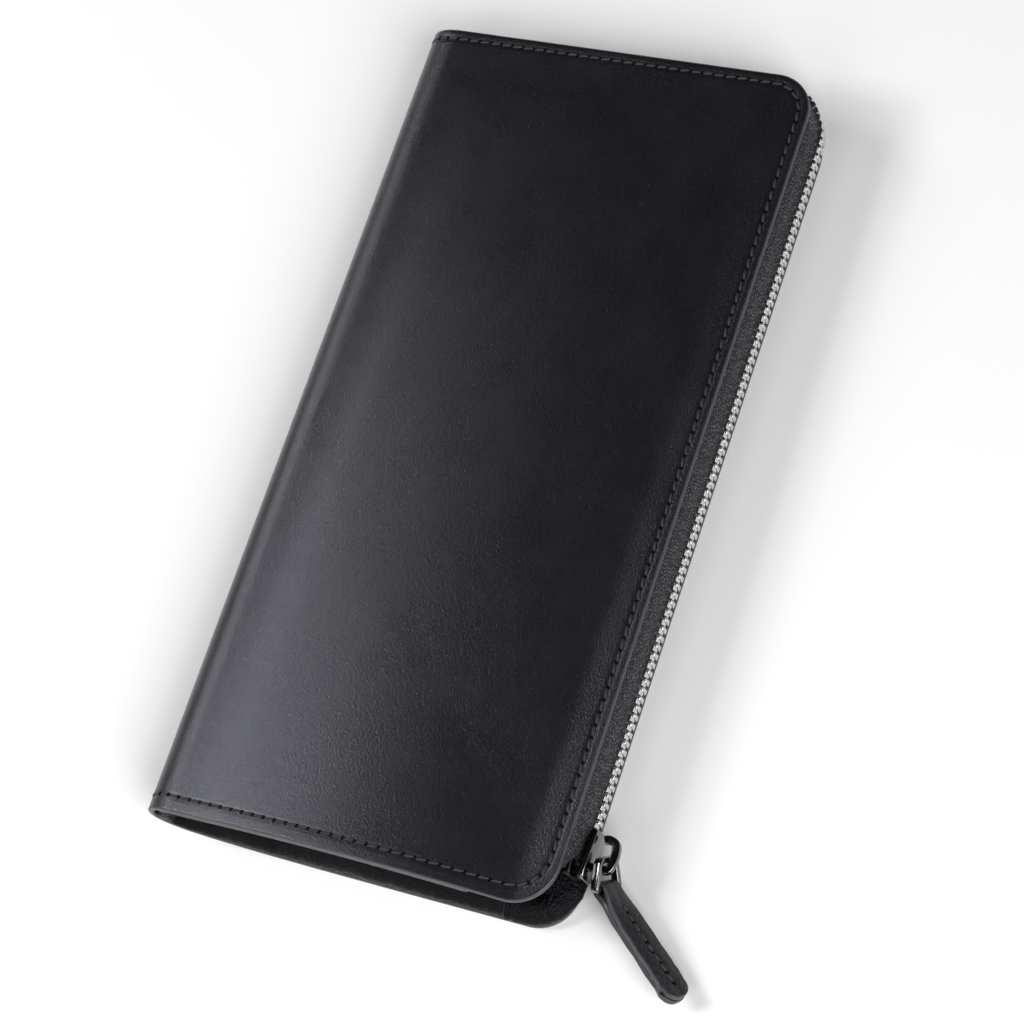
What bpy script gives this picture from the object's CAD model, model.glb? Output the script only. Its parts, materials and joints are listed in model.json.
import json
import math

import bmesh
import bpy
from mathutils import Matrix, Vector, noise


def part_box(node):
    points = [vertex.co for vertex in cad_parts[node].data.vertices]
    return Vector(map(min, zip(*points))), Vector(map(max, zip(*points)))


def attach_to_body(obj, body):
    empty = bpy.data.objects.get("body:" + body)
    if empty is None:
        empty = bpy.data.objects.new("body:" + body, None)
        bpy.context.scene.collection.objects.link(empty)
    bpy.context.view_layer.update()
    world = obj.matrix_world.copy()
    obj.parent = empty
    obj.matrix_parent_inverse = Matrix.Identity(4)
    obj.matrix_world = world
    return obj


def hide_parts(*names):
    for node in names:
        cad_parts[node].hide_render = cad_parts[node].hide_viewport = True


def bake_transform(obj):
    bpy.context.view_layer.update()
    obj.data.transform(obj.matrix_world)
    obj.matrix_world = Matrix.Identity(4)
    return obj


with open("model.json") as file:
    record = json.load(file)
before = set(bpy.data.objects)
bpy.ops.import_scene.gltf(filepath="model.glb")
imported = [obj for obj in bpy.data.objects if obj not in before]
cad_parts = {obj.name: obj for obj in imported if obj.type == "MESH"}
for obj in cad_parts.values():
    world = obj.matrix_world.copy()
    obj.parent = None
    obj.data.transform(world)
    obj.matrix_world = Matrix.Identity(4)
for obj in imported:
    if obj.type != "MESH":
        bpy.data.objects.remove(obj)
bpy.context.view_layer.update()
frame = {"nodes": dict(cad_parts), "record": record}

# ---- driving sizes: shapes are worked out in millimetres from the corner of spine and gusset end ----

MM = 0.001


def box(name):
    """A CAD node's lowest and highest corners, in metres."""
    low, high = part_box(name)
    return Vector(low), Vector(high)


front_low, front_high = box("front_cover")
spine_low, spine_high = box("spine_cover")
back_low, back_high = box("back_cover")
ORIGIN = Vector((spine_low.x, front_low.y, 0.0))
COVER_W = (front_high.x - spine_low.x) / MM
COVER_L = (front_high.y - front_low.y) / MM
EDGE_T = spine_high.z / MM
MID_Z = EDGE_T / 2
HINGE_X = (spine_high.x - spine_low.x) / MM
CROWN_H = front_high.z / MM - EDGE_T
BACK_REACH = (front_low.y - back_low.y) / MM
LEATHER_T = (back_high.z - back_low.z) / MM
FRONT_R = 10.0          # corner radius of the front cover at the gusset end
BACK_R = 9.0            # the same on the back cover
TOP_R = 9.5             # corner radius where the zip turns
BACK_TOP_R = 13.0       # the same on the back cover, which the zip draws in
TAPE_FLANGE = 7.0       # width of tape hidden between the leather and the lining
EDGE_ROUND = 0.35
LINING_IN = 1.6         # the lining stops this far inside the leather's edge
LINING_GAP = 0.55       # room for tape and stiffener between leather and lining
LINING_T = 0.4
SEAM_IN = 2.35          # from the cover's edge to its seam
SEAM_LOW = 3.4          # the same at the gusset end
STITCH_PITCH = 2.8
THREAD_R = 0.30
TOOTH_PITCH = 2.0
ZIP_U = 1.25            # middle of the tape at the teeth, outside the cover edge
LAYER_T = 2.1           # second leather layer under the front cover's edge
LAYER_END_X = 80.0

JOINTS = {joint["name"]: joint for joint in frame["record"]["behaviour"]["joints"]}


def row(p):
    """A point in millimetres from the corner of spine and gusset end, in the row frame in metres."""
    return ORIGIN + Vector(p) * MM


def local(p):
    """The other way round: from metres in the row frame to local millimetres."""
    return (Vector(p) - ORIGIN) / MM


def local_box(name):
    """A CAD node's lowest and highest corners, in local millimetres."""
    return [local(p) for p in box(name)]


def clamp(t, low=0.0, high=1.0):
    return max(low, min(high, t))


def smooth(t):
    t = clamp(t)
    return t * t * (3 - 2 * t)


def mix(a, b, t):
    return a + (b - a) * t


def bezier(p0, p1, p2, p3, t):
    s = 1 - t
    return Vector(p0) * s ** 3 + Vector(p1) * 3 * s * s * t + Vector(p2) * 3 * s * t * t + Vector(p3) * t ** 3


def spline(points, t):
    """Catmull-Rom curve through points, t from 0 to 1."""
    n = len(points) - 1
    k = min(int(t * n), n - 1)
    f = t * n - k
    p = [Vector(points[clamp(i, 0, n)]) for i in (k - 1, k, k + 1, k + 2)]
    return 0.5 * (2 * p[1] + (p[2] - p[0]) * f + (2 * p[0] - 5 * p[1] + 4 * p[2] - p[3]) * f * f
                  + (3 * p[1] - p[0] - 3 * p[2] + p[3]) * f ** 3)


def arc_drop(r, x):
    """How far a circle of radius r has fallen away, x beyond its top."""
    return r - math.sqrt(max(0.0, r * r - max(0.0, x) ** 2))


def lengths(points):
    """Run along a line of points, at each of them."""
    runs = [0.0]
    for a, b in zip(points, points[1:]):
        runs.append(runs[-1] + math.dist(a, b))
    return runs


def walk(s, start, way, legs):
    """Point and direction s along a line in plan that turns left by quarter turns. legs has the straight
    lengths, with the radius of each turn between them."""
    p, way = Vector((*start, 0)), Vector((*way, 0))
    for k, leg in enumerate(legs):
        if k % 2 == 0:
            if s <= leg or k == len(legs) - 1:
                break
            p, s = p + way * leg, s - leg
        else:
            a = min(s / leg, math.pi / 2)
            left = Vector((-way.y, way.x, 0))
            p = p + way * leg * math.sin(a) + left * leg * (1 - math.cos(a))
            way = way * math.cos(a) + left * math.sin(a)
            if s <= math.pi / 2 * leg:
                return p, way
            s -= math.pi / 2 * leg
    return p + way * s, way


# ---- node materials ----

class Shader:
    """A Principled material built from chained nodes."""

    def __init__(self, name, **values):
        self.material = bpy.data.materials.new(name)
        self.material.use_nodes = True
        self.tree = self.material.node_tree
        self.surface = self.tree.nodes["Principled BSDF"]
        for key, value in values.items():
            self.set(key.replace("_", " "), value)

    def set(self, key, value):
        """Sets or links an input of the Principled node."""
        self.put(self.surface.inputs[key], value)

    def put(self, target, value):
        if isinstance(value, bpy.types.NodeSocket):
            self.tree.links.new(value, target)
        elif target.type == "RGBA" and len(value) == 3:
            target.default_value = (*value, 1.0)
        else:
            target.default_value = value

    def node(self, kind, inputs=None, out=0, **props):
        made = self.tree.nodes.new("ShaderNode" + kind)
        for key, value in props.items():
            setattr(made, key, value)
        for key, value in (inputs or {}).items():
            self.put(made.inputs[key], value)
        return made.outputs[out]

    def math(self, operation, a, b=0.0):
        return self.node("Math", {0: a, 1: b}, operation=operation)

    def tint(self, factor, dark, light):
        """Base colour, from dark to light by the factor."""
        made = self.tree.nodes.new("ShaderNodeMix")
        made.data_type = "RGBA"
        for key, value in ((0, factor), (6, dark), (7, light)):
            self.put(made.inputs[key], value)
        self.set("Base Color", made.outputs[2])

    def ramp(self, value, low, high, to_low=0.0, to_high=1.0):
        return self.node("MapRange", {0: value, 1: low, 2: high, 3: to_low, 4: to_high}, clamp=True,
                         interpolation_type="SMOOTHSTEP")

    def place(self, scale=(1, 1, 1), rotation=0.0):
        """The piece's own lay of the material, in millimetres."""
        lay = self.node("Attribute", out=1, attribute_name="lay")
        return self.node("Mapping", {"Vector": lay, "Scale": scale, "Rotation": (0, 0, rotation)})

    def position(self, scale):
        """Object coordinates, scaled to about a millimetre, for metal parts."""
        here = self.node("TexCoord", out=3)
        return self.node("Mapping", {"Vector": here, "Scale": (scale, scale, scale)})

    def noise(self, where, scale, detail=2.0, out=0):
        return self.node("TexNoise", {"Vector": where, "Scale": scale, "Detail": detail}, out=out)

    def bump(self, *layers):
        """Bump from (height, depth in mm) layers, coarse first."""
        normal = None
        for height, depth in layers:
            inputs = {"Height": height, "Distance": depth * MM, "Strength": 1.0}
            if normal:
                inputs["Normal"] = normal
            normal = self.node("Bump", inputs)
        self.set("Normal", normal)


def leather(name, dark, light, grain_mm, grain_depth, rough, seam=False, wrinkle=0.0, shine=0.55):
    """Dyed leather: cells of grain, pores, slow undulation, and a pressed line along the seam."""
    s = Shader(name, Specular_IOR_Level=shine, Specular_Tint=(0.87, 0.885, 1.0))
    lay = s.place()
    warp = s.node("Mix", {0: 0.12, 4: lay, 5: s.noise(lay, 0.9 / grain_mm, 2.0, out=1)}, out=1,
                  data_type="VECTOR")
    cells = s.node("TexVoronoi", {"Vector": warp, "Scale": 1.0 / grain_mm, "Randomness": 1.0},
                   feature="SMOOTH_F1")
    pores = s.noise(lay, 2.6 / grain_mm, 3.0)
    patches = s.noise(lay, 0.06, 3.0)
    tone = s.math("ADD", s.math("MULTIPLY", patches, 0.7), s.math("MULTIPLY", cells, 0.35))
    s.tint(s.ramp(tone, 0.3, 0.75), dark, light)
    s.set("Roughness", s.ramp(s.math("ADD", s.math("MULTIPLY", patches, 0.3), pores), 0.35, 0.95,
                              rough - 0.03, rough + 0.05))
    layers = [(patches, 0.014)]
    if wrinkle:
        folds = s.noise(s.place(scale=(0.9, 0.16, 0.3)), 1.3, 3.0)
        layers.append((folds, wrinkle))
    if seam:
        from_seam = s.node("SeparateXYZ", {0: s.node("Attribute", out=1, attribute_name="lay")}, out=2)
        layers.append((s.ramp(s.math("ABSOLUTE", from_seam), 0.0, 1.3), 0.09))
    layers += [(cells, grain_depth), (pores, grain_depth * 0.55)]
    s.bump(*layers)
    return s.material


def painted_edge(name, colour, rough):
    """Burnished and painted cut edge: nearly smooth, with brush marks along it."""
    s = Shader(name, Specular_IOR_Level=0.5, Coat_Weight=0.15, Coat_Roughness=0.2)
    lay = s.place()
    marks = s.noise(s.place(scale=(0.25, 0.25, 1.0)), 2.2, 3.0)
    s.tint(marks, colour, [c * 1.7 for c in colour])
    s.set("Roughness", s.ramp(marks, 0.2, 0.8, rough, rough + 0.16))
    s.bump((marks, 0.05), (s.noise(lay, 3.0, 2.0), 0.02))
    return s.material


def lining_cloth(name):
    """Plain weave of dull thread."""
    s = Shader(name, Specular_IOR_Level=0.2, Sheen_Weight=0.25, Sheen_Roughness=0.5)
    waves = [s.node("TexWave", {"Vector": s.place(), "Scale": 0.75, "Distortion": 0.4, "Detail": 1.0},
                    out=1, bands_direction=way) for way in ("X", "Y")]
    weave = s.math("MULTIPLY", waves[0], waves[1])
    s.tint(weave, (0.006, 0.006, 0.007), (0.028, 0.028, 0.031))
    s.set("Roughness", s.ramp(weave, 0.0, 1.0, 0.85, 0.65))
    s.bump((weave, 0.09))
    return s.material


def grained_tape(name):
    """Zip tape faced with grained leather: long pebbles with dark creases between them."""
    s = Shader(name, Specular_IOR_Level=0.6, Specular_Tint=(0.90, 0.91, 1.0))
    lay = s.place(scale=(0.72, 1.1, 1.0), rotation=0.25)
    warp = s.node("Mix", {0: 0.16, 4: lay, 5: s.noise(lay, 1.1, 2.0, out=1)}, out=1, data_type="VECTOR")
    crease = s.node("TexVoronoi", {"Vector": warp, "Scale": 2.1, "Randomness": 1.0},
                    feature="DISTANCE_TO_EDGE")
    pebble = s.ramp(crease, 0.05, 0.26)
    fuzz = s.noise(s.place(), 3.2, 3.0)
    s.tint(pebble, (0.0004, 0.0004, 0.0005), (0.075, 0.075, 0.083))
    s.set("Roughness", s.ramp(s.math("ADD", pebble, s.math("MULTIPLY", fuzz, 0.4)), 0.1, 1.3, 0.62, 0.36))
    s.bump((pebble, 0.30), (fuzz, 0.05))
    return s.material


def thread_material(name):
    """Waxed twisted thread."""
    s = Shader(name, Specular_IOR_Level=0.4)
    strands = s.node("TexWave", {"Vector": s.place(scale=(1.0, 0.6, 1.0), rotation=0.6), "Scale": 1.1,
                                 "Distortion": 0.3}, out=1)
    s.tint(strands, (0.008, 0.008, 0.009), (0.040, 0.040, 0.043))
    s.set("Roughness", s.ramp(strands, 0, 1, 0.62, 0.42))
    s.bump((strands, 0.04))
    return s.material


def hole_material(name):
    """The dark of a needle hole."""
    s = Shader(name, Specular_IOR_Level=0.1)
    fibres = s.noise(s.place(), 3.0)
    s.tint(fibres, (0.0008, 0.0008, 0.0008), (0.002, 0.002, 0.002))
    s.set("Roughness", 0.9)
    return s.material


def polished_metal(name, dark, light, rough):
    """Plated metal with faint polishing marks and handling smudges."""
    s = Shader(name, Metallic=1.0)
    smudge = s.noise(s.position(450.0), 1.0, 3.0)
    marks = s.noise(s.position(5200.0), 1.0, 2.0)
    s.tint(smudge, dark, light)
    s.set("Roughness", s.ramp(smudge, 0.25, 0.8, rough, rough + 0.12))
    s.bump((marks, 0.006))
    return s.material


def fibre_board(name):
    """Pressed fibre board, bare."""
    s = Shader(name, Specular_IOR_Level=0.2, Roughness=0.85)
    fibres = s.noise(s.position(900.0), 1.0, 6.0)
    s.tint(fibres, (0.16, 0.12, 0.08), (0.34, 0.27, 0.19))
    s.bump((fibres, 0.05))
    return s.material


OUTER = leather("outer_leather", (0.0050, 0.0052, 0.0066), (0.0076, 0.0080, 0.0100), 0.37, 0.060, 0.275,
                seam=True)
TAB = leather("tab_leather", (0.0075, 0.0076, 0.0086), (0.021, 0.021, 0.0235), 0.50, 0.15, 0.36)
GUSSET = leather("gusset_leather", (0.0004, 0.0004, 0.0005), (0.0012, 0.0012, 0.0014), 0.55, 0.22, 0.22,
                 wrinkle=0.55, shine=0.15)
POCKET = leather("pocket_leather", (0.007, 0.007, 0.008), (0.013, 0.013, 0.0145), 0.5, 0.04, 0.46)
EDGE = painted_edge("painted_edge", (0.026, 0.0265, 0.030), 0.38)
DARK_EDGE = painted_edge("dark_edge", (0.006, 0.006, 0.0066), 0.42)
GUSSET_EDGE = painted_edge("gusset_edge", (0.0012, 0.0012, 0.0013), 0.6)
LINING = lining_cloth("lining_cloth")
TAPE = grained_tape("zip_tape")
THREAD = thread_material("thread")
HOLE = hole_material("needle_hole")
NICKEL = polished_metal("bright_nickel", (0.70, 0.70, 0.71), (0.88, 0.88, 0.88), 0.16)
GUNMETAL = polished_metal("dark_nickel", (0.15, 0.15, 0.155), (0.24, 0.24, 0.245), 0.08)
BLACKENED = polished_metal("blackened_metal", (0.020, 0.020, 0.021), (0.045, 0.045, 0.046), 0.30)
BOARD = fibre_board("fibre_board")


# ---- mesh tools ----

def make_object(name, points, faces, materials, lay=None, face_materials=None):
    """A smooth mesh object from points in local millimetres. lay is a vector for each point."""
    mesh = bpy.data.meshes.new(name)
    mesh.from_pydata([row(p) for p in points], [], faces)
    for material in materials:
        mesh.materials.append(material)
    if face_materials:
        mesh.polygons.foreach_set("material_index", face_materials)
    mesh.polygons.foreach_set("use_smooth", [True] * len(mesh.polygons))
    values = mesh.attributes.new("lay", "FLOAT_VECTOR", "POINT")
    flat = [c for v in (lay or points) for c in v]
    values.data.foreach_set("vector", flat)
    mesh.update()
    made = bpy.data.objects.new(name, mesh)
    bpy.context.scene.collection.objects.link(made)
    return made


def join(name, parts):
    """Several objects of one piece as one mesh, materials kept."""
    bpy.ops.object.select_all(action="DESELECT")
    for part in parts:
        part.select_set(True)
    bpy.context.view_layer.objects.active = parts[0]
    bpy.ops.object.join()
    parts[0].name = name
    return parts[0]


def attach(piece, body, slot, *replaced):
    """The piece rides on body, takes its finish from slot and stands for the CAD nodes named."""
    if replaced:
        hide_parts(*replaced)
    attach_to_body(piece, body)


def grid_normals(grid, flip):
    """A normal for each point of a grid of columns."""
    across, along = len(grid), len(grid[0])
    normals = []
    for i in range(across):
        column = []
        for j in range(along):
            du = grid[min(i + 1, across - 1)][j] - grid[max(i - 1, 0)][j]
            dv = grid[i][min(j + 1, along - 1)] - grid[i][max(j - 1, 0)]
            n = du.cross(dv)
            if n.length < 1e-9:
                n = column[-1].copy() if column else Vector((0, 0, 1))
                n = -n if flip and column else n
            n.normalize()
            column.append(-n if flip else n)
        normals.append(column)
    return normals


def shell(name, grid, thickness, materials, flip=False, edge_round=EDGE_ROUND, lay=None, edge_of=None,
          thin=None):
    """A sheet with rounded cut edges. grid is columns of points on its outer face, which already stops
    edge_round short of the outline; its normal is du x dv, or the other way if flip. thin gives each
    column its share of the thickness."""
    across, along = len(grid), len(grid[0])
    normals = grid_normals(grid, flip)
    edge_round = min(edge_round, thickness / 2)
    points, lays, faces, kinds = [], [], [], []

    def lay_of(i, j):
        u, v = lay(i, j) if lay else (grid[i][j].x, grid[i][j].y)
        return Vector((u, v, edge_of(grid[i][j], i) if edge_of else 20.0))

    for depth in (0.0, thickness):
        for i in range(across):
            for j in range(along):
                points.append(grid[i][j] - normals[i][j] * depth * (thin[i] if thin else 1))
                lays.append(lay_of(i, j))
    inner = across * along
    for i in range(across - 1):
        for j in range(along - 1):
            a, b = i * along + j, (i + 1) * along + j
            quad = (a, b, b + 1, a + 1)
            faces.append(quad[::-1] if flip else quad)
            faces.append(tuple(inner + k for k in (quad if flip else quad[::-1])))
            kinds += [0, 0]
    loop = ([(i, 0) for i in range(across)] + [(across - 1, j) for j in range(1, along)]
            + [(i, along - 1) for i in range(across - 2, -1, -1)] + [(0, j) for j in range(along - 2, 0, -1)])
    turns = [math.radians(a) for a in (30, 60, 90)]
    profile = [(edge_round * math.sin(a), edge_round * (1 - math.cos(a))) for a in turns]
    profile += [(out, thickness - deep) for out, deep in reversed(profile)]
    rings = []
    for k, (i, j) in enumerate(loop):
        before, after = (grid[a][b] for a, b in (loop[k - 1], loop[(k + 1) % len(loop)]))
        tangent = (after - before).normalized()
        n = normals[i][j]
        outward = tangent.cross(-n if flip else n)
        outward = outward.normalized() if outward.length > 1e-6 else Vector((0, 0, 0))
        ring = [i * along + j]
        for out, deep in profile:
            ring.append(len(points))
            points.append(grid[i][j] + outward * out - n * deep * (thin[i] if thin else 1))
            spot = lay_of(i, j)
            lays.append(Vector((spot.x, spot.y, -deep)))
        ring.append(inner + i * along + j)
        rings.append(ring)
    for k in range(len(rings)):
        a, b = rings[k], rings[(k + 1) % len(rings)]
        for step in range(len(a) - 1):
            quad = (a[step], a[step + 1], b[step + 1], b[step])
            faces.append(quad[::-1] if flip else quad)
            kinds.append(min(1, len(materials) - 1))
    return make_object(name, points, faces, materials, lays, kinds)


def tube_faces(start, rings, sides, closed=False):
    """Faces of a tube whose rings of points begin at start, capped unless it is closed."""
    faces = []
    for k in range(rings if closed else rings - 1):
        lo, hi = start + k * sides, start + (k + 1) % rings * sides
        faces += [(lo + q, lo + (q + 1) % sides, hi + (q + 1) % sides, hi + q) for q in range(sides)]
    if not closed:
        end = start + rings * sides
        faces += [tuple(range(start, start + sides))[::-1], tuple(range(end - sides, end))]
    return faces


def sweep(name, path, section, plane_normal, materials, closed=False, taper=0):
    """A bar of the given cross-section along a flat path. taper rounds that many rings at each end."""
    b = Vector(plane_normal).normalized()
    count = len(path)
    points, lays = [], []
    run = 0.0
    for k, p in enumerate(path):
        ahead = path[(k + 1) % count] if closed or k < count - 1 else p
        behind = path[k - 1] if closed or k > 0 else p
        t = (ahead - behind).normalized()
        side = t.cross(b)
        ends = min(k, count - 1 - k)
        size = 1.0 if closed or ends >= taper else math.sqrt(max(0.02, 1 - (1 - ends / taper) ** 2))
        run += (p - behind).length if k else 0.0
        for q, (w, h) in enumerate(section):
            points.append(p + side * w * size + b * h * size)
            lays.append(Vector((run, q * 0.3, 20.0)))
    made = make_object(name, points, tube_faces(0, count, len(section), closed), materials, lays)
    face_outwards(made)
    return made


def face_outwards(made, crease=None):
    """Turns every face outwards, and keeps edges hard that bend by more than crease degrees."""
    work = bmesh.new()
    work.from_mesh(made.data)
    bmesh.ops.recalc_face_normals(work, faces=work.faces)
    for e in work.edges if crease else ():
        e.smooth = not (e.is_manifold and e.calc_face_angle(0) > math.radians(crease))
    work.to_mesh(made.data)
    work.free()


def round_section(w, h, r, steps=4):
    """Outline of a bar w by h with corners of radius r."""
    corners = ((w / 2 - r, h / 2 - r, 0), (r - w / 2, h / 2 - r, 90), (r - w / 2, r - h / 2, 180),
               (w / 2 - r, r - h / 2, 270))
    return [(cx + r * math.cos(math.radians(start + 90 * k / steps)),
             cy + r * math.sin(math.radians(start + 90 * k / steps)))
            for cx, cy, start in corners for k in range(steps + 1)]


def extruded(outline, low_z, high_z):
    """A bmesh of the outline's solid between two heights."""
    work = bmesh.new()
    low, high = ([work.verts.new((x, y, z)) for x, y in outline] for z in (low_z, high_z))
    work.faces.new(low[::-1])
    work.faces.new(high)
    for k in range(len(outline)):
        m = (k + 1) % len(outline)
        work.faces.new((low[k], low[m], high[m], high[k]))
    return work


def bevelled(work, edges, width, profile):
    """Rounds edges of a bmesh, frees it and gives its points and faces."""
    bmesh.ops.bevel(work, geom=edges, offset=width, segments=3, profile=profile, affect="EDGES",
                    clamp_overlap=True)
    work.verts.index_update()
    points = [Vector(v.co) for v in work.verts]
    faces = [tuple(v.index for v in f.verts) for f in work.faces]
    work.free()
    return points, faces


def prism(name, outline, depth, place, material, bevel):
    """An outline made solid, with rounded edges. place turns (x, y, height) into local millimetres."""
    work = extruded(outline, 0, depth)
    bmesh.ops.recalc_face_normals(work, faces=work.faces)
    sharp = [e for e in work.edges if e.is_manifold and e.calc_face_angle(0) > math.radians(25)]
    points, faces = bevelled(work, sharp, bevel, 0.5)
    made = make_object(name, [place(p) for p in points], faces, [material])
    face_outwards(made, 40)
    return made


# ---- surfaces of the wallet ----

def crown(x, y):
    """How far the front cover stands above its edges."""
    u = clamp((x - HINGE_X) / (COVER_W - TAPE_FLANGE - 1 - HINGE_X))
    v = clamp(y / (COVER_L - TAPE_FLANGE - 1))
    return CROWN_H * math.sin(math.pi * u) * (1 - v * v) * mix(0.35, 1.0, smooth(u / 0.16))


LIFT_X, LIFT_Z = 10.0, 3.9     # the back cover's curl at the spine
LIFT_FADE = 14.5               # distance in which it dies down to a third
NOSE_Z = 10.4                  # the spine's foremost point
FRONT_X = HINGE_X + 0.6        # where the front cover's flat part starts


def back_lift(x):
    """Height of the back cover's outer face: it curls up towards the spine."""
    return LIFT_Z * math.exp(-(x - LIFT_X) / LIFT_FADE) * smooth((72 - x) / 30)


def nose(t):
    """The spine's outer face from the back (t = 0) to the front (t = 1), as (x, z)."""
    slope = LIFT_Z / LIFT_FADE
    if t < 0.5:
        p = bezier((LIFT_X, 0, back_lift(LIFT_X)), (LIFT_X - 5.5, 0, back_lift(LIFT_X) + 5.5 * slope),
                   (0, 0, NOSE_Z - 3.2), (0, 0, NOSE_Z), t * 2)
    else:
        p = bezier((0, 0, NOSE_Z), (0, 0, NOSE_Z + 3.4), (3.4, 0, EDGE_T), (FRONT_X, 0, EDGE_T), t * 2 - 1)
    return p.x, p.z


def cover_corners(side):
    """A cover's end at the gusset in y, its corner radius there, and the one at the zip's turn."""
    return (-BACK_REACH, BACK_R, BACK_TOP_R) if side == "back" else (0.0, FRONT_R, TOP_R)


def edge_distance(x, y, low_y, low_r, top_r):
    """Distance in from the cover's outline, which has no edge at the spine."""
    top, side, bottom = COVER_L - y, COVER_W - x, y - low_y
    d = min(top, side, bottom)
    if side < top_r and top < top_r:
        d = top_r - math.hypot(top_r - side, top_r - top)
    if side < low_r and bottom < low_r:
        d = low_r - math.hypot(low_r - side, low_r - bottom)
    return d


def cover_columns(inset, x_start, r):
    """x of each column from x_start to the zip edge, closer together in the corners."""
    x1 = COVER_W - inset
    flat = [mix(x_start, x1 - r, k / 26) for k in range(26)]
    return flat + [x1 - r + r * math.sin(math.pi / 2 * k / 14) for k in range(15)]


ROW_EDGES = (0, 0.6, 1.3, 2.2, 3.2, 4.3, 6.0, 8.5, 12.0)


def rows_between(low, high, count=44):
    """y of each row, closer together at both ends."""
    inner = [mix(ROW_EDGES[-1], high - low - ROW_EDGES[-1], k / (count + 1)) for k in range(1, count + 1)]
    scale = min(1.0, (high - low) / (2.2 * ROW_EDGES[-1]))
    steps = [e * scale for e in ROW_EDGES] + inner + [high - low - e * scale for e in reversed(ROW_EDGES)]
    return [low + s for s in steps]


def wrap_stations(inset):
    """Stations round the wallet's section, back to front: (kind, value)."""
    r = max(FRONT_R, BACK_TOP_R) - inset
    back = [("back", x) for x in reversed(cover_columns(inset, LIFT_X, r))]
    around = [("nose", k / 26) for k in range(1, 26)]
    front = [("front", x) for x in cover_columns(inset, FRONT_X, r)]
    return back + around + front


def wrap_grid(inset):
    """Grid over the whole outer leather, with its run along the section for each column."""
    grid, section = [], []
    for kind, value in wrap_stations(inset):
        if kind == "nose":
            x, z = nose(value)
            low, high = -BACK_REACH * (1 - smooth(value)) + inset, COVER_L - inset
        else:
            x, z = value, back_lift(value) if kind == "back" else EDGE_T
            low_y, low_r, top_r = cover_corners(kind)
            low = low_y + inset + arc_drop(low_r - inset, x - COVER_W + low_r)
            high = COVER_L - inset - arc_drop(top_r - inset, x - COVER_W + top_r)
        section.append((x, z))
        grid.append([Vector((x, y, z + (crown(x, y) if kind == "front" else 0.0)))
                     for y in rows_between(low, high)])
    return grid, lengths(section)


def wrap_edge(stations):
    """edge_of function for the wrap: millimetres in from the seam."""
    def edge_of(p, i):
        kind, value = stations[i]
        if kind == "nose":
            return min(p.y + BACK_REACH * (1 - smooth(value)) - SEAM_LOW, COVER_L - p.y - SEAM_IN)
        corners = cover_corners(kind)
        lowered = mix(SEAM_LOW, SEAM_IN, smooth((p.y - corners[0]) / 12))
        return edge_distance(p.x, p.y, *corners) - lowered
    return edge_of


def fold(piece, low_z=1.6, high_z=EDGE_T - LEATHER_T - 0.1):
    """The piece bends between two heights, shared out between the back and front bodies."""
    tuple(row((0, 0, low_z)))
    tuple(row((0, 0, high_z)))
    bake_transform(piece)


def make_outer_leather():
    grid, runs = wrap_grid(EDGE_ROUND)
    piece = shell("outer_leather", grid, LEATHER_T, [OUTER, EDGE],
                  lay=lambda i, j: (runs[i], grid[i][j].y), edge_of=wrap_edge(wrap_stations(EDGE_ROUND)))
    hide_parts("back_cover", "spine_cover", "front_cover")
    fold(piece)


def make_lining():
    grid, runs = wrap_grid(LINING_IN)
    depth = LEATHER_T + LINING_GAP
    inner = [[p - n * depth for p, n in zip(*pair)] for pair in zip(grid, grid_normals(grid, False))]
    piece = shell("lining", inner, LINING_T, [LINING], edge_round=0.15,
                  lay=lambda i, j: (runs[i], grid[i][j].y))
    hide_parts("back_lining", "spine_lining", "front_lining")
    fold(piece)


def make_back_board():
    """Stiffener of the back wall. It starts past the curl at the spine, which it would flatten."""
    low, high = local_box("back_board")
    grid = [[Vector((x, mix(low.y, high.y, k / 12), back_lift(x) + LEATHER_T + 0.43)) for k in range(13)]
            for x in (mix(low.x + 8, high.x, k / 24) for k in range(25))]
    piece = shell("back_stiffener", grid, 0.36, [BOARD], edge_round=0.1)
    attach(piece, "back", "stiffener", "back_board")


def make_edge_layer():
    """The second leather layer that shows under the front cover's edge at the gusset end."""
    xs = [mix(3.0, LAYER_END_X, k / 70) for k in range(71)]
    ys = (0.30, 0.7, 1.4, 2.6, 4.0, 6.0, 9.0)
    grid = [[Vector((x, y, (EDGE_T + crown(x, y) if x > FRONT_X else nose_z(x)) - LEATHER_T - 0.05))
             for y in ys] for x in xs]
    piece = shell("front_edge_layer", grid, LAYER_T, [OUTER, DARK_EDGE], edge_round=0.3)
    attach(piece, "front", "outer_leather")


def nose_z(x):
    """Height of the spine's upper outer face at x."""
    low, high = 0.5, 1.0
    for _ in range(24):
        mid = (low + high) / 2
        if nose(mid)[0] < x:
            low = mid
        else:
            high = mid
    return nose(low)[1]


# ---- gusset ----

GUSSET_X0 = 5.0
GUSSET_DEPTH = (5.0, 22.0)     # how deep it folds in at the spine and at the zip
GUSSET_X1 = 85.0        # where the corner piece starts
GUSSET_END_Y = 12.5     # where it ends, on the zip side
GUSSET_STRAIGHT = COVER_W - FRONT_R - GUSSET_X0


def gusset_station(s):
    """Outline point and inward direction at s millimetres along the gusset, from the spine to the zip end."""
    spot, way = walk(s, (GUSSET_X0, 0), (1, 0), (GUSSET_STRAIGHT, FRONT_R, math.inf))
    return spot, Vector((-way.y, way.x, 0))


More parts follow.
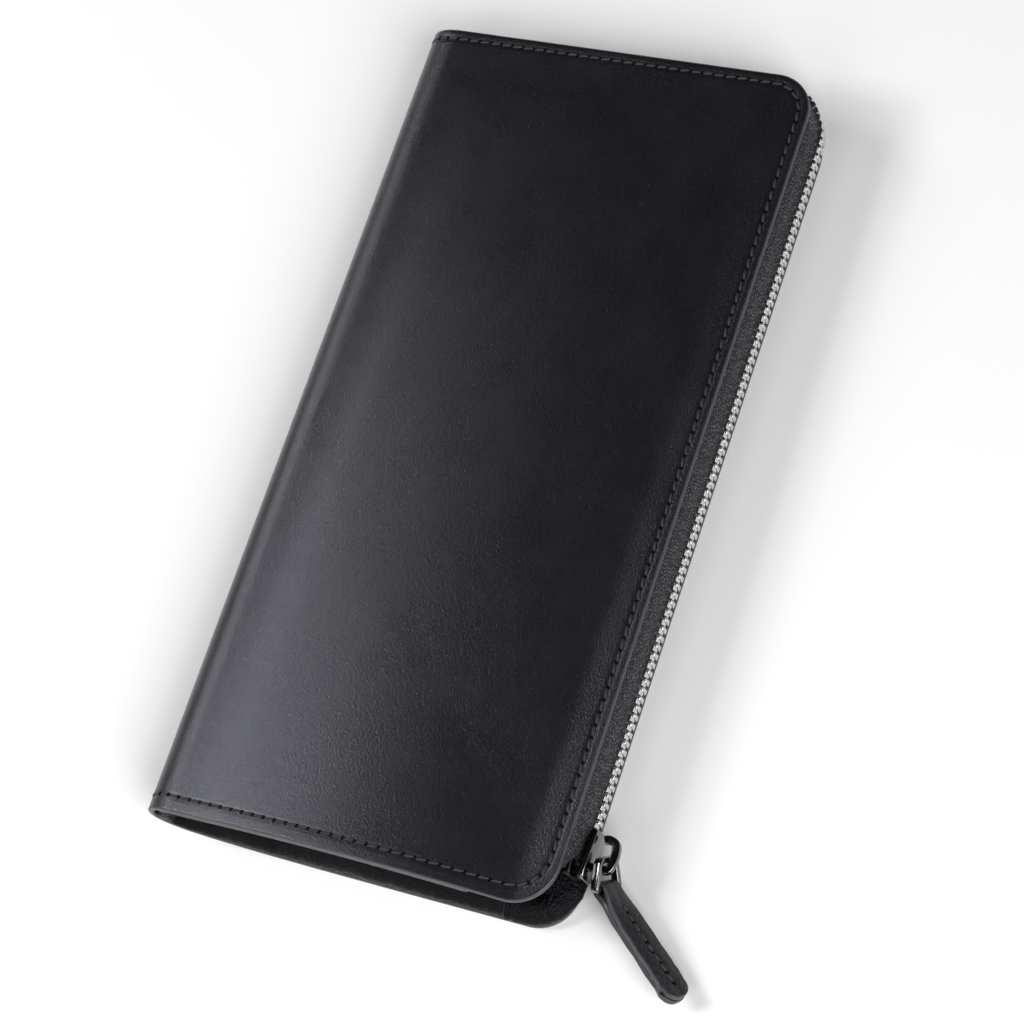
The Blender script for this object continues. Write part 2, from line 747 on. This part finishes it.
def gusset_point(s, t):
    """A point of the V fold: t runs from under the front cover, into the valley and out to the back edge."""
    base, inward = gusset_station(s)
    depth = mix(*GUSSET_DEPTH, smooth((base.x - GUSSET_X0) / 70))
    if inward.y < 0.999:
        depth *= mix(1.0, 0.45, smooth((s - GUSSET_STRAIGHT) / 12))
    floor = LEATHER_T + (back_lift(base.x) if base.x > LIFT_X else LIFT_Z + (LIFT_X - base.x) * 0.35)
    roof = min(EDGE_T + crown(base.x, base.y), nose_z(base.x) if base.x < FRONT_X else 99) \
        - LEATHER_T - LAYER_T * (1 if base.x < LAYER_END_X else 0.35) - 0.05
    section = ((3.5, 1.0), (1.3, 0.985), (2.2, 0.93), (0.55 * depth, 0.76), (0.9 * depth, 0.58),
               (depth, 0.50), (0.9 * depth, 0.42), (0.50 * depth, 0.335), (3.0, 0.285), (1.0, 0.235),
               (-0.55, 0.155), (-0.95, 0.06), (0.2, 0.0))
    q = spline([(d, h, 0) for d, h in section], t)
    return base + inward * q.x + Vector((0, 0, mix(floor, roof, q.y)))


def gusset_shell(name, node_name, s0, s1, step, lift):
    """The gusset from s0 to s1, puckered where it shows, and lifted off the piece under it."""
    count = round((s1 - s0) / step)
    along = 46
    grid = []
    for i in range(count + 1):
        s = mix(s0, s1, i / count)
        column = []
        for j in range(along + 1):
            t = j / along
            p = gusset_point(s, t)
            show = smooth((t - 0.5) / 0.2) * smooth((1.0 - t) / 0.1)
            ripple = noise.noise(Vector((s * 0.9, t * 1.6, 1.7))) * 0.22 \
                + noise.noise(Vector((s * 2.2, t * 1.2, 7.3))) * 0.14
            slack = noise.noise(Vector((s * 0.11, t * 2.2, 3.1))) * 0.45
            inward = gusset_station(s)[1]
            column.append(p - inward * (ripple * show + slack * show * 0.6 + lift)
                          + Vector((0, 0, 0.25 * ripple * show)))
        grid.append(column)
    piece = shell(name, grid, 0.7, [GUSSET, GUSSET_EDGE], flip=True, edge_round=0.3,
                  lay=lambda i, j: (mix(s0, s1, i / count), j * 0.8))
    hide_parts(node_name)
    fold(piece, 2.2, EDGE_T - 3.2)


def make_gussets():
    meet = GUSSET_X1 - GUSSET_X0
    end = GUSSET_STRAIGHT + math.pi / 2 * FRONT_R + GUSSET_END_Y - FRONT_R
    gusset_shell("gusset_fold", "bottom_gusset", 0.0, meet + 1.5, 0.8, 0.0)
    gusset_shell("gusset_corner", "corner_gusset", meet - 0.4, end, 0.7, 0.45)


# ---- seams ----

HOLE_RINGS = ((0.36, 0.04), (0.60, 0.05), (0.68, -0.10))     # radius and height of a needle hole's rims


def stitch_run(points, normals, name, sink=0.0, slant=0.16):
    """A row of saddle stitches through the points, one hole at each, as thread and needle holes."""
    verts, faces, lays, kinds = [], [], [], []

    def ring(centre, way_a, way_b, count, lay_at):
        for q in range(count):
            turn = 2 * math.pi * q / count
            verts.append(centre + way_a * math.cos(turn) + way_b * math.sin(turn))
            lays.append(Vector(lay_at(q)))

    sides, rings = 8, 9
    for k in range(len(points) - 1):
        a, b, n = points[k], points[k + 1], (normals[k] + normals[k + 1]).normalized()
        side = n.cross((b - a).normalized())
        start = len(verts)
        for m in range(rings):
            t = m / (rings - 1)
            rise = 0.24 * math.sin(math.pi * t) ** 0.7 - 0.20 - sink
            centre = a.lerp(b, 0.06 + 0.88 * t) + n * rise + side * slant * (t - 0.5) * 2
            thick = THREAD_R * (0.72 + 0.28 * math.sin(math.pi * t))
            ring(centre, side * thick * 1.15, n * thick, sides,
                 lambda q: (k * STITCH_PITCH + t * 2.5, q * 0.2, 0))
        faces += tube_faces(start, rings, sides)
    kinds += [0] * len(faces)
    spokes = 10
    for k, (p, n) in enumerate(zip(points, normals)):
        along = (points[min(k + 1, len(points) - 1)] - points[max(k - 1, 0)]).normalized()
        side = n.cross(along)
        start = len(verts)
        for m, (size, up) in enumerate(HOLE_RINGS):
            ring(p + n * (up - sink), along * size, side * size * 0.78, spokes,
                 lambda q: (k * STITCH_PITCH, m, q))
        centre = len(verts)
        verts.append(p + n * (0.02 - sink))
        lays.append(Vector((k * STITCH_PITCH, 0, 0)))
        for q in range(spokes):
            q2 = (q + 1) % spokes
            faces.append((centre, start + q, start + q2))
            for lo in (start, start + spokes):
                faces.append((lo + q, lo + spokes + q, lo + spokes + q2, lo + q2))
    kinds += [1] * (len(faces) - len(kinds))
    made = make_object(name, verts, faces, [THREAD, HOLE], lays, kinds)
    face_outwards(made)
    return made


def cover_seam(side):
    """Points and normals of the seam on a cover, from the spine round both corners to the spine again."""
    low_y, low_r, top_r = cover_corners(side)
    x1, y0, y1 = COVER_W - SEAM_IN, low_y + SEAM_LOW, COVER_L - SEAM_IN
    rb, rt = low_r - SEAM_IN, top_r - SEAM_IN
    x0 = LIFT_X if side == "back" else FRONT_X
    legs = (x1 - rb - x0, rb, y1 - y0 - rb - rt, rt, x1 - rt - x0)
    total = legs[0] + legs[2] + legs[4] + math.pi / 2 * (rb + rt)
    count = round(total / STITCH_PITCH)

    def height(x, y):
        return back_lift(x) if side == "back" else EDGE_T + crown(x, y)

    points, normals = [], []
    sign = -1 if side == "back" else 1
    for k in range(count + 1):
        x, y = walk(total * k / count, (x0, y0), (1, 0), legs)[0].xy
        n = Vector((height(x - 0.1, y) - height(x + 0.1, y), height(x, y - 0.1) - height(x, y + 0.1), 0.2))
        points.append(Vector((x, y, height(x, y))))
        normals.append(n.normalized() * sign)
    return points, normals


def spine_seam(top):
    """The seam's short run over the spine, at the top or the gusset end."""
    fine = [nose(k / 400) for k in range(401)]
    runs = lengths(fine)
    count = round(runs[-1] / STITCH_PITCH)
    points, normals = [], []
    for k in range(count + 1):
        want = runs[-1] * k / count
        m = min(range(401), key=lambda q: abs(runs[q] - want))
        x, z = fine[m]
        ahead, behind = fine[min(m + 1, 400)], fine[max(m - 1, 0)]
        tangent = Vector((ahead[0] - behind[0], 0, ahead[1] - behind[1])).normalized()
        y = COVER_L - SEAM_IN if top else SEAM_LOW - BACK_REACH * (1 - smooth(m / 400))
        points.append(Vector((x, y, z)))
        normals.append(Vector((-tangent.z, 0, tangent.x)))
    return points, normals


def make_seams():
    for side in ("back", "front"):
        points, normals = cover_seam(side)
        piece = stitch_run(points, normals, side + "_seam", sink=0.22 if side == "back" else 0.0)
        attach(piece, side, "thread", side + "_stitching")
    parts = [stitch_run(*spine_seam(top), "spine_seam_part") for top in (False, True)]
    fold(join("spine_seam", parts))


# ---- zip ----

ZIP_END_Y = 10.6        # the tapes' end on the long side, in y
ZIP_START_X = 12.5      # and at the spine, in x
TAPE_RISE = MID_Z - LEATHER_T - 0.27     # from the zip's middle to the flange


def corner_pull(y, x):
    """How far the zip is drawn in where it turns: it cuts the corner."""
    return 1.3 * smooth((y - (COVER_L - 11.5)) / 7.5) * smooth((x - (COVER_W - 26)) / 16)


def tape_point(s, u):
    """A point of the tape in plan, u outside the cover's edge. At the corner it is drawn in."""
    long_run = COVER_L - TOP_R - ZIP_END_Y
    spot, along = walk(s, (COVER_W, ZIP_END_Y), (0, 1), (long_run, TOP_R, math.inf))
    if u > -1.0:
        x = COVER_W - TOP_R - (s - long_run - math.pi / 2 * TOP_R)
        u -= corner_pull(ZIP_END_Y + s, min(x, COVER_W)) * clamp((u + 1.0) / 1.2)
    return spot + along.cross(Vector((0, 0, 1))) * u


def tape_section(t):
    """(u, height above the zip's middle) across a tape, from the flange under the cover to the teeth."""
    gap = 0.55
    reach = TAPE_RISE - gap
    sag = ZIP_U + 0.8
    r = (reach * reach + sag * sag) / (2 * sag)
    if t < 0.25:
        return mix(-TAPE_FLANGE, -1.6, t / 0.25), TAPE_RISE
    f = (t - 0.25) / 0.75
    h = mix(TAPE_RISE, gap, f ** 0.8)
    return ZIP_U - arc_drop(r, h - gap) - 0.45 * smooth(1 - f / 0.25), h


def make_tape(side):
    """A tape: its end at the slider is tucked in, and at the spine it follows the back cover's lift."""
    long_run, turn = COVER_L - TOP_R - ZIP_END_Y, math.pi / 2 * TOP_R
    rest = COVER_W - TOP_R - ZIP_START_X - (2 if side == "front" else 0)
    stations = [0, 0.5, 1.0, 1.6, 2.3, 3.1, 4.0, 5.0, 6.2]
    stations += [7.5 + 2.5 * k for k in range(int((long_run - 8) / 2.5))]
    stations += [long_run + turn * k / 14 for k in range(15)]
    stations += [long_run + turn + rest * k / 26 for k in range(1, 27)]
    sign = 1 if side == "front" else -1
    rows = 22
    grid = []
    for s in stations:
        column = []
        tuck = (1 - clamp(s / 5.0)) ** 2
        for j in range(rows + 1):
            u, h = tape_section(j / rows)
            across = smooth((j / rows - 0.3) / 0.5)
            u -= tuck * 4.2 * across
            h += tuck * 0.9 * across
            p = tape_point(s, u)
            lift = back_lift(max(p.x, LIFT_X)) if side == "back" and s > long_run and h > 0.6 else 0.0
            p.z = MID_Z + sign * h * (1 - lift / TAPE_RISE)
            column.append(p)
        grid.append(column)
    widths = lengths([tape_section(j / rows) for j in range(rows + 1)])
    piece = shell(side + "_tape", grid, 0.42, [TAPE], flip=side == "front", edge_round=0.18,
                  lay=lambda i, j: (stations[i], widths[j]))
    attach(piece, side, "zip_tape", side + "_zip_tape")


def tooth_mesh():
    """One tooth as (points, faces): x along the zip, y across it, z out of the tape."""
    half = 0.88
    right = [(0.34, -0.55), (0.44, -0.3), (0.44, 0.2), (0.36, 0.5), (0.56, 0.8), (0.58, 2.1)]
    profile = [(-0.34, -0.55)] + right + [(-x, y) for x, y in right[:0:-1]]
    work = extruded(profile, -half, half)
    rims = [e for e in work.edges if abs(e.verts[0].co.z - e.verts[1].co.z) < 1e-6]
    return bevelled(work, rims, 0.24, 0.6)


def make_teeth(side, first_y):
    """A row of teeth, half a pitch further on at the back."""
    sign = 1 if side == "front" else -1
    shape, shape_faces = tooth_mesh()
    legs = (COVER_L - TOP_R - first_y, TOP_R + ZIP_U, COVER_W - TOP_R - ZIP_START_X - 5)
    total = legs[0] + math.pi / 2 * legs[1] + legs[2]
    points, faces = [], []
    for k in range(int(total / TOOTH_PITCH)):
        s = (k + (0.5 if side == "back" else 0)) * TOOTH_PITCH
        spot, along = walk(s, (COVER_W + ZIP_U, first_y), (0, 1), legs)
        outward = along.cross(Vector((0, 0, 1)))
        spot -= outward * corner_pull(spot.y, spot.x)
        spot.z = MID_Z
        wobble = noise.noise(Vector((k * 0.7, sign, 0))) * 0.05
        start = len(points)
        points += [spot + along * (p.x + wobble) + Vector((0, 0, sign * p.y)) + outward * p.z for p in shape]
        faces += [tuple(start + v for v in f) for f in shape_faces]
    piece = make_object(side + "_teeth", points, faces, [NICKEL])
    face_outwards(piece, 50)
    attach(piece, side, "zip_metal", side + "_zip_teeth")


# ---- slider and pull ----

def make_slider():
    low, high = local_box("slider_body")
    half, mid_y = (high.y - low.y) / 2, (high.y + low.y) / 2
    wide = (high.z - low.z) / 2
    tail = wide * 0.83
    plate = 0.95
    edge = [(-half, wide - 1.4), (-half + 0.5, wide - 0.4), (-half + 1.6, wide), (-0.6, wide),
            (half - 0.5, tail), (half, tail - 0.5)]
    outline = edge + [(x, -y) for x, y in reversed(edge)]

    def at(u):
        return lambda p: Vector((u + p.z, mid_y + p.x, MID_Z + p.y))

    parts = [prism("plate_out", outline, plate, at(high.x - plate), GUNMETAL, bevel=0.28),
             prism("plate_in", outline, plate, at(low.x), BLACKENED, bevel=0.22)]
    for way in (-1, 1):
        lip = [(x, way * y) for x, y in edge] + [(x, way * (y - 0.55)) for x, y in reversed(edge)]
        if way < 0:
            lip.reverse()
        parts.append(prism("lip", lip, 0.75, at(high.x - plate - 0.45), BLACKENED, bevel=0.1))
    post = [(-half + 0.4, -0.4), (-half + 2.6, -0.25), (-half + 2.6, 0.25), (-half + 0.4, 0.4)]
    parts.append(prism("post", post, high.x - low.x - 1.4, at(low.x + 0.7), BLACKENED, bevel=0.08))
    piece = join("slider_shell", parts)
    attach(piece, "slider", "slider_metal", "slider_body")

    eye_low, eye_high = local_box("slider_crown")
    base, reach = eye_low.x, eye_high.x - eye_low.x
    y0, y1 = eye_low.y, eye_high.y
    bar = 1.8
    knots = ((-0.5, y0 + 0.92), (0.6, y0 + 0.90), (reach * 0.48, y0 + 0.90), (reach - 1.35, y0 + 1.5),
             (reach - 0.90, (y0 + y1) / 2), (reach - 1.35, y1 - 1.6), (reach * 0.48, y1 - 0.92),
             (1.75, y1 - 0.95), (1.05, y1 - 1.25))
    path = [spline([(base + u, y, MID_Z) for u, y in knots], k / 56) for k in range(57)]
    section = round_section(bar, eye_high.z - eye_low.z, 0.22)
    hook = sweep("slider_hook", path, section, (0, 0, 1), [GUNMETAL], taper=3)
    attach(hook, "slider", "slider_metal", "slider_crown")


STRAP_TWIST = math.radians(17)


def pull_frame():
    """The pull at rest: the link's two pivots, the ways along link and tab, and the bar's axis."""
    upper = local(JOINTS["link_swing"]["pos_m"])
    lower = local(JOINTS["tab_swing"]["pos_m"])
    bar = Vector(JOINTS["tab_swing"]["axis"]).normalized()
    hang = (lower - upper).normalized()
    hang = (hang - bar * hang.dot(bar)).normalized()
    reach = [c - row(lower) for c in tab_points()]
    far = max(reach, key=lambda c: c.length)
    along = (far - bar * far.dot(bar)).normalized()
    tip = max(c.dot(along) for c in reach)
    side = along.cross(bar)
    heights = [c.dot(side) for c in reach if c.dot(along) > tip * 0.5]
    tilt = (max(heights) + min(heights)) / 2
    along = (along * tip * 0.75 + side * tilt).normalized()
    return upper, lower, hang, along, bar


def make_link():
    """A flat loop of wire, wider at the tab."""
    upper, lower, hang, _, bar = pull_frame()
    link_l = (lower - upper).length
    top, bottom, r = 2.45, 3.75, 0.8
    corners = [Vector(c) for c in ((0, top, 0), (link_l, bottom, 0), (link_l, -bottom, 0), (0, -top, 0))]
    path = []
    for k in range(4):
        before, here, after = (corners[(k + d) % 4] for d in (-1, 0, 1))
        a = here + (before - here).normalized() * r
        b = here + (after - here).normalized() * r
        path += [a.lerp(here, t).lerp(here.lerp(b, t), t) for t in (q / 6 for q in range(7))]
    path = [upper + hang * p.x + bar * p.y for p in path]
    section = round_section(1.2, 1.9, 0.30, 3)
    link = sweep("metal_link", path, section, hang.cross(bar), [GUNMETAL], closed=True)
    attach(link, "link", "slider_metal", "pull_link")


def make_tab():
    """One strap folded round the bar, both layers glued and sewn. It twists along its length."""
    _, lower, _, length, bar = pull_frame()
    face = length.cross(bar)
    tab_l = max((c - row(lower)).dot(length) for c in tab_points()) / MM - 0.3
    half_t, strap, head_r, half_w, tip_r, neck = 1.55, 1.38, 2.1, 2.85, 2.6, 0.80

    def twisted(l):
        """Directions across the strap and out of its face at l."""
        twist = STRAP_TWIST * smooth((l - 1.5) / 9)
        return bar * math.cos(twist) + face * math.sin(twist), face * math.cos(twist) - bar * math.sin(twist)

    def side_path(t):
        """(l, height) of the strap's outer face: tip on one side, round the bar, tip on the other."""
        turn = 0.10
        if abs(t - 0.5) > turn:
            f = (abs(t - 0.5) - turn) / (0.5 - turn)
            l = mix(0.4, tab_l, 1 - (1 - f) ** 1.8)
            h = half_t + (head_r - half_t - 0.05) * (1 - smooth((l - 0.3) / 4.0))
            return l, h if t < 0.5 else -h
        a = (t - 0.5 + turn) / (2 * turn) * math.pi
        return 0.4 - head_r * math.sin(a) * 0.98, (head_r - 0.05) * math.cos(a)

    count = 140
    spots = [side_path(i / count) for i in range(count + 1)]
    runs = lengths(spots)
    grid = []
    for l, h in spots:
        wide = half_w * mix(neck, 1.0, smooth((l - 1.0) / 4.0))
        drawn = clamp((l - (tab_l - 3.0 * tip_r)) / (3.0 * tip_r))
        side_way, face_way = twisted(l)
        out = 1 if h > 0 else -1
        column = []
        for j in range(19):
            w = wide * math.sin(math.pi / 2 * (j - 9) / 9)
            back = arc_drop(tip_r, abs(w) - (half_w - tip_r))
            dome = 0.24 * (1 - (w / half_w) ** 2) - 0.10
            groove = -0.16 * math.exp(-(w / 0.55) ** 2)
            amount = (dome + groove) * smooth(abs(h) / 1.2)
            wave = 0.12 * noise.noise(Vector((l * 0.35, w * 0.2, 5 + out)))
            sway = 0.10 * noise.noise(Vector((l * 0.22, out, 2.0)))
            column.append(lower + length * (l - back * drawn) + side_way * (w + sway)
                          + face_way * (h + out * (amount + wave - 0.1)))
        grid.append(column)
    thin = [1 - 0.29 * (1 - smooth((l - 0.4) / 1.6)) for l, _ in spots]     # room for the bar in the bend
    strap_piece = shell("tab_strap", grid, strap, [TAB, EDGE], flip=True, edge_round=0.30,
                        lay=lambda i, j: (runs[i], j * 0.5 + 60), thin=thin)
    attach(strap_piece, "tab", "tab_leather", "pull_tab")
    first, step = 4.6, STITCH_PITCH * 0.9
    holes = [first + step * k for k in range(int((tab_l - 2.2 - first) / step) + 1)]
    seams = []
    for out in (1, -1):
        ways = [twisted(l)[1] * out for l in holes]
        points = [lower + length * l + way * (half_t - 0.10) for l, way in zip(holes, ways)]
        seams.append(stitch_run(points, ways, "tab_seam_part", slant=0.12))
    attach(join("tab_seam", seams), "tab", "thread", "pull_tab_stitching")


def tab_points():
    """The corners of the CAD tab's mesh, at rest in the row frame."""
    return [v.co for v in frame["nodes"]["pull_tab"].data.vertices]


# ---- inside ----

def panel(name, node_name, body, material, r, notch=None):
    """A leather panel over a CAD sheet, with rounded corners. notch is a thumb notch's depth and width."""
    low, high = local_box(node_name)
    inset = 0.15
    x0, x1, y0, y1 = low.x + inset, high.x - inset, low.y + inset, high.y - inset
    xs = [x0 + r - r * math.cos(math.pi / 2 * k / 6) for k in range(6)]
    xs += [mix(x0 + r, x1 - r, k / 22) for k in range(23)]
    xs += [x1 - r + r * math.sin(math.pi / 2 * k / 6) for k in range(1, 7)]
    grid = []
    for x in xs:
        draw = arc_drop(r, max(x - (x1 - r), (x0 + r) - x))
        column = []
        for y in rows_between(y0 + draw, y1 - draw, 36):
            px = x
            if notch:
                reach = math.exp(-((y - (y0 + y1) / 2) / notch[1]) ** 4)
                px = x - notch[0] * reach * smooth((x - (x1 - 25)) / 25)
            column.append(Vector((px, y, high.z)))
        grid.append(column)
    piece = shell(name, grid, (high.z - low.z) * 0.9, [material, DARK_EDGE], edge_round=0.12,
                  edge_of=lambda p, i: min(x1 - p.x, 20.0))
    attach(piece, body, "pocket_leather", node_name)


def make_inside():
    for k in range(1, 5):
        panel("card_slot_%d" % k, "card_strip_%d" % k, "back", POCKET, r=2.0)
    panel("slip_pocket", "front_slip_pocket", "front", POCKET, r=3.0, notch=(7.0, 11.0))
    make_coin_pocket()
    for side in ("back", "front"):
        panel("coin_mouth_" + side, "coin_binding_" + side, "divider", TAB, r=0.8)


def make_coin_pocket():
    """Both walls of the coin pocket as one folded sheet, with a bellows gusset at each end."""
    back_lo, back_hi = local_box("coin_wall_back")
    front_hi = local_box("coin_wall_front")[1]
    fold_lo, fold_hi = local_box("coin_fold")
    r = (fold_hi.z - fold_lo.z) / 2
    mid = (fold_hi.z + fold_lo.z) / 2
    stations = [(mix(back_hi.x, fold_hi.x, k / 24), back_lo.z) for k in range(24)]
    bends = [math.pi * k / 10 for k in range(11)]
    stations += [(fold_hi.x - r * math.sin(a), mid - r * math.cos(a)) for a in bends]
    stations += [(mix(fold_hi.x, front_hi.x, k / 24), front_hi.z) for k in range(1, 25)]
    grid = [[Vector((x, y, z)) for y in rows_between(back_lo.y, back_hi.y, 36)] for x, z in stations]
    runs = lengths(stations)
    piece = shell("coin_pocket", grid, 0.48, [POCKET, DARK_EDGE], edge_round=0.12,
                  lay=lambda i, j: (runs[i], grid[i][j].y))
    attach(piece, "divider", "pocket_leather", "coin_wall_back", "coin_wall_front", "coin_fold")
    for end in ("bottom", "top"):
        low, high = local_box("coin_gusset_" + end)
        way = 1 if end == "bottom" else -1
        mouth = low.y if end == "bottom" else high.y
        section = [(0, deep * way, z) for deep, z in (
            (0, low.z + 0.05), (1.8, mix(low.z, high.z, 0.28)), (3.9, mix(low.z, high.z, 0.5)),
            (1.8, mix(low.z, high.z, 0.72)), (0, high.z - 0.05))]
        column = [spline(section, q / 16) for q in range(17)]
        xs = [mix(low.x, high.x, k / 40) for k in range(41)]
        openings = [mix(0.35, 1.0, smooth((x - low.x) / 20)) for x in xs]
        grid = [[Vector((x, mouth + c.y * opening, c.z)) for c in column] for x, opening in zip(xs, openings)]
        bellows = shell("coin_bellows_" + end, grid, 0.3, [GUSSET], flip=end == "bottom", edge_round=0.1,
                        lay=lambda i, j: (xs[i], j * 0.4))
        attach(bellows, "divider", "gusset_leather", "coin_gusset_" + end)


# ---- CAD nodes that stay ----

def finish_cad_nodes():
    """Materials and a fine bevel for the CAD nodes that are shown as they are."""
    kept = {"front_board": BOARD, "card_seam": THREAD, "coin_stitching": THREAD,
            "front_top_stop": BLACKENED, "back_top_stop": BLACKENED, "zip_bottom_stop": BLACKENED}
    for name, material in kept.items():
        node_object = frame["nodes"][name]
        node_object.data.materials.clear()
        node_object.data.materials.append(material)
        bevel = node_object.modifiers.new("rounded", "BEVEL")
        bevel.width = 0.00012
        bevel.segments = 2
        bevel.limit_method = "ANGLE"
        bevel.angle_limit = math.radians(40)


# ---- stage ----

def make_stage():
    """A pale plain floor."""
    work = bmesh.new()
    bmesh.ops.create_grid(work, x_segments=8, y_segments=8, size=4.0)
    mesh = bpy.data.meshes.new("floor")
    work.to_mesh(mesh)
    work.free()
    floor = bpy.data.objects.new("floor", mesh)
    floor.location.z = -0.0002
    s = Shader("floor_white", Roughness=0.8, Specular_IOR_Level=0.1)
    clouds = s.noise(s.position(3.0), 1.0)
    s.tint(clouds, (0.90, 0.90, 0.90), (0.92, 0.92, 0.92))
    mesh.materials.append(s.material)
    bpy.context.scene.collection.objects.link(floor)


def area_light(name, direction, distance, size, power):
    """A square light in that direction from the wallet, aimed at its middle. Metres and watts."""
    data = bpy.data.lights.new(name, "AREA")
    data.shape = "RECTANGLE"
    data.size = data.size_y = size
    data.energy = power
    light = bpy.data.objects.new(name, data)
    aim = Vector((0, 0, 0.01))
    light.location = Vector(direction).normalized() * distance + aim
    light.rotation_euler = (aim - light.location).to_track_quat("-Z", "Y").to_euler()
    bpy.context.scene.collection.objects.link(light)


def make_lights():
    """Soft panels on the spine's side give the cover its sheen. Softboxes light the floor and the metal."""
    world = bpy.data.worlds.new("studio")
    bpy.context.scene.world = world
    world.use_nodes = True
    backdrop = world.node_tree.nodes["Background"]
    backdrop.inputs["Color"].default_value = (0.95, 0.97, 1.0, 1)
    backdrop.inputs["Strength"].default_value = 0.02
    area_light("sheen_panel", (-0.66, -0.18, 0.68), 1.1, 0.30, 4.35)
    area_light("high_panel", (-0.60, 0.02, 0.78), 1.1, 0.22, 0.91)
    area_light("low_panel", (-0.74, -0.30, 0.60), 1.2, 0.20, 1.7)
    area_light("spine_panel", (-0.80, 0.25, 0.50), 1.1, 0.28, 2.1)
    area_light("right_softbox", (0.75, -0.45, 0.62), 1.3, 0.8, 17)
    area_light("front_softbox", (-0.1, -1.0, 0.75), 1.4, 0.8, 3.9)
    bpy.context.scene.view_settings.view_transform = "Standard"


CAMERA_AT = (329.0, -95.4, 587.3)
CAMERA_RIGHT = (0.8935, 0.3150, -0.3202)
CAMERA_UP = (-0.1877, 0.9095, 0.3710)
LENS = 106.35


def make_camera():
    """The camera that was fitted to the photograph."""
    data = bpy.data.cameras.new("camera")
    data.sensor_width = 36.0
    data.lens = LENS
    data.clip_start = 0.01
    camera = bpy.data.objects.new("camera", data)
    right, up = Vector(CAMERA_RIGHT), Vector(CAMERA_UP)
    turn = Matrix((right, up, right.cross(up))).transposed().to_4x4()
    camera.matrix_world = Matrix.Translation(row(CAMERA_AT)) @ turn
    bpy.context.scene.collection.objects.link(camera)
    bpy.context.scene.camera = camera


make_stage()
make_lights()
make_camera()
make_outer_leather()
make_lining()
make_back_board()
make_edge_layer()
make_gussets()
make_seams()
for side in ("back", "front"):
    make_tape(side)
    make_teeth(side, local(box("front_zip_teeth")[0]).y + 0.75)
make_slider()
make_link()
make_tab()
make_inside()
finish_cad_nodes()
